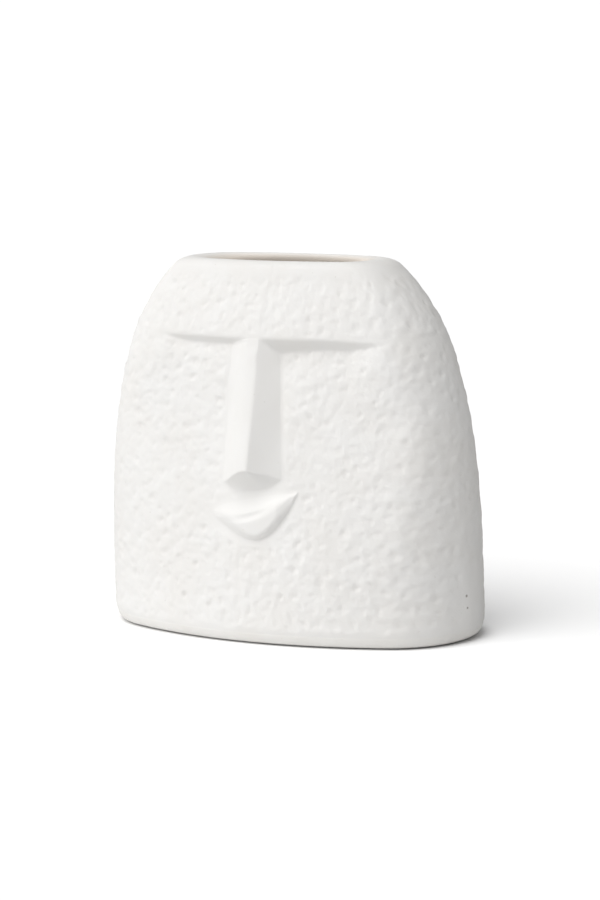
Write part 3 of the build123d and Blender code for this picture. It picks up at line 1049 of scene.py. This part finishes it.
# Painted contact shadow: no lift next to the foot, the full lift some millimetres outside it.
glow = add(tree, "ShaderNodeEmission", Strength=ramp(tree, from_foot, *CONTACT_SHADE_EDGE, 0.0, FLOOR_LIFT))
lifted = add(tree, "ShaderNodeAddShader")
for socket, source in zip(lifted.inputs, (seen, glow)):
    put(tree, socket, source.outputs[0])
by_camera = add(tree, "ShaderNodeLightPath").outputs["Is Camera Ray"]
choose_shader(tree, by_camera, bounce, lifted, "Material Output")
print(paper.name, len(tree.nodes), "nodes")

# %% Lamps
LAMPS = {  # strength, degrees to the left of the face, degrees above the floor
    "high lamp": (2.0, 4, 59),
    "side lamp": (0.87, 58, 18),
}
LAMP_SIZE = radians(50)
for name, (strength, around, above) in LAMPS.items():
    lamp = bpy.data.objects.new(name, bpy.data.lights.new(name, "SUN"))
    lamp.data.energy = strength
    lamp.data.angle = LAMP_SIZE
    around, above = radians(around), radians(above)
    towards_lamp = Vector((-sin(around) * cos(above), -cos(around) * cos(above), sin(above)))
    lamp.rotation_euler = towards_lamp.to_track_quat("Z", "Y").to_euler()
    bpy.context.scene.collection.objects.link(lamp)
    print(name, [round(v, 2) for v in towards_lamp])

# %% World
WORLD_LIGHT = 0.2  # the light from all round; the background itself is white
world = bpy.data.worlds.new("studio")
bpy.context.scene.world = world
world.use_nodes = True
tree = world.node_tree
dim = tree.nodes["Background"]
dim.inputs["Color"].default_value = (1, 1, 1, 1)
dim.inputs["Strength"].default_value = WORLD_LIGHT
white = add(tree, "ShaderNodeBackground", Strength=1.0)
ray = add(tree, "ShaderNodeLightPath")
in_view = ray.outputs["Is Camera Ray"]
for kind in ("Is Glossy Ray", "Is Transmission Ray"):
    in_view = sums(tree, "MAXIMUM", in_view, ray.outputs[kind])
choose_shader(tree, in_view, dim, white, "World Output")
print(world.name, len(tree.nodes), "nodes")

# %% [markdown]
# ## Camera
#
# The camera stands well back with a long lens, to the right of the face and slightly above it, and
# is turned by a little over a degree and a half. These numbers were found by laying the vase's
# outline, foot and rim over the picture.

# %% Camera
AROUND, ABOVE, ROLL = radians(30.92), radians(8.845), radians(1.659)
AWAY, AIM_X, AIM_Z = 1416.5, 3.087, 74.031
LENS, SENSOR = 135.8, 36.0
right = Vector((cos(AROUND), sin(AROUND), 0))
backwards = Vector((sin(AROUND) * cos(ABOVE), -cos(AROUND) * cos(ABOVE), sin(ABOVE)))
upwards = backwards.cross(right)
eye = right * AIM_X + Vector((0, 0, AIM_Z)) + backwards * AWAY
right, upwards = right * cos(ROLL) - upwards * sin(ROLL), right * sin(ROLL) + upwards * cos(ROLL)
camera = bpy.data.objects.new("camera", bpy.data.cameras.new("camera"))
camera.data.lens = LENS
camera.data.sensor_width = SENSOR
camera.matrix_world = Matrix((
    (right.x, upwards.x, backwards.x, eye.x * MM),
    (right.y, upwards.y, backwards.y, eye.y * MM),
    (right.z, upwards.z, backwards.z, eye.z * MM),
    (0, 0, 0, 1),
))
bpy.context.scene.collection.objects.link(camera)
bpy.context.scene.camera = camera
bpy.context.scene.view_settings.view_transform = "Standard"
print("camera at", [round(v) for v in eye], "mm")

# %% [markdown]
# ## Joining the pieces to the solids
#
# Each finished skin takes the place of one solid and rides on the vase's only body.

# %% Tie the pieces
for piece, node, slot in (
    (wall, "body_wall", "pitted_bisque"),
    (foot, "base_slab", "smooth_bisque"),
    (inner_glaze, "inner_glaze", "inside_glaze"),
    (nose, "nose", "smooth_bisque"),
    (upper_lip, "upper_lip", "smooth_bisque"),
    (lower_lip, "lower_lip", "smooth_bisque"),
):
    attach(piece, "root")
    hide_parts(node)
